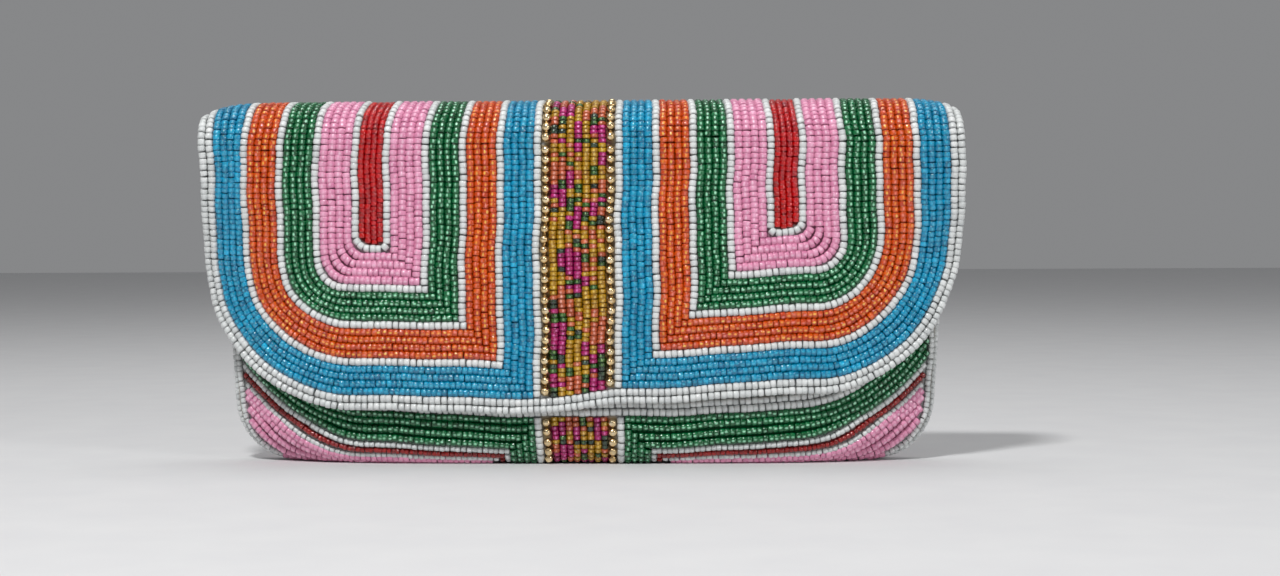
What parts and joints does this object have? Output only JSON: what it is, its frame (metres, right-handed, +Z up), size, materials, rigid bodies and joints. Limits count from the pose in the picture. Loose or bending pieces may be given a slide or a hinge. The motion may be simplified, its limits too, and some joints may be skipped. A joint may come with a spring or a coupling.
{
  "type": "clutch purse",
  "caption": "Slim beaded flap clutch: a flat-based pouch with a half-round top fold and a rounded front flap that lifts up and over, held shut by a hidden magnetic snap.",
  "frame": {"origin": "centre of the purse's outline on the surface it stands on", "axes": "+X along the purse's width, to the right as seen from the front; -Y out of the front, where the flap is; +Z up from the base to the fold"},
  "size_m": [0.2562, 0.0348, 0.122],
  "materials": {
    "beads_blue": "opaque seed beads, glossy",
    "beads_orange": "opaque seed beads, glossy",
    "beads_green": "opaque seed beads, glossy",
    "beads_pink": "opaque pearl seed beads",
    "beads_red": "opaque seed beads, glossy",
    "beads_white": "opaque white seed beads",
    "beads_gold": "gold-tone metal balls",
    "beads_centre": "mixed ochre, magenta and green seed beads",
    "ground_fabric": "plain woven cotton",
    "lining": "satin weave",
    "board": "stiff nonwoven board",
    "binding": "folded cotton tape",
    "magnet": "plated magnet",
    "snap_metal": "stamped, polished"
  },
  "bodies": {
    "pouch": {"back_blue_beads": "beads_blue", "back_board": "board", "back_centre_beads": "beads_centre", "back_gold_beads": "beads_gold", "back_green_beads": "beads_green", "back_ground_fabric": "ground_fabric", "back_lining": "lining", "back_orange_beads": "beads_orange", "back_pink_beads": "beads_pink", "back_red_beads": "beads_red", "back_top_beads": "beads_pink", "back_white_beads": "beads_white", "base_beads": "beads_pink", "base_board": "board", "base_ground_fabric": "ground_fabric", "base_lining": "lining", "front_board": "board", "front_centre_beads": "beads_centre", "front_gold_beads": "beads_gold", "front_green_beads": "beads_green", "front_ground_fabric": "ground_fabric", "front_lining": "lining", "front_pink_beads": "beads_pink", "front_red_beads": "beads_red", "front_white_beads": "beads_white", "mouth_binding": "binding", "side_binding_left": "binding", "side_binding_right": "binding", "side_edge_beads": "beads_white", "snap_socket_cup": "snap_metal", "snap_socket_magnet": "magnet", "snap_socket_washer": "snap_metal"},
    "fold": {"fold_blue_beads": "beads_blue", "fold_centre_beads": "beads_centre", "fold_gold_beads": "beads_gold", "fold_green_beads": "beads_green", "fold_ground_fabric": "ground_fabric", "fold_interlining": "board", "fold_lining": "lining", "fold_orange_beads": "beads_orange", "fold_pink_beads": "beads_pink", "fold_red_beads": "beads_red", "fold_white_beads": "beads_white"},
    "flap": {"flap_blue_beads": "beads_blue", "flap_board": "board", "flap_border_beads": "beads_white", "flap_centre_beads": "beads_centre", "flap_gold_beads": "beads_gold", "flap_green_beads": "beads_green", "flap_ground_fabric": "ground_fabric", "flap_lining": "lining", "flap_orange_beads": "beads_orange", "flap_pink_beads": "beads_pink", "flap_red_beads": "beads_red", "flap_top_beads": "beads_pink", "flap_white_beads": "beads_white", "snap_stud_cap": "snap_metal", "snap_stud_post": "snap_metal", "snap_stud_washer": "snap_metal"}
  },
  "joints": [
    {"name": "fold_hinge", "type": "hinge", "parent": "pouch", "child": "fold", "pos_m": [0, 0.01236, 0.11705], "axis": [-1, 0, 0], "range_deg": [0, 90]},
    {"name": "flap_hinge", "type": "hinge", "parent": "fold", "child": "flap", "pos_m": [0, -0.00774, 0.11705], "axis": [-1, 0, 0], "range_deg": [0, 90]}
  ],
  "couplings": [
    {"joint": "flap_hinge", "follows": "fold_hinge", "ratio": 1}
  ]
}
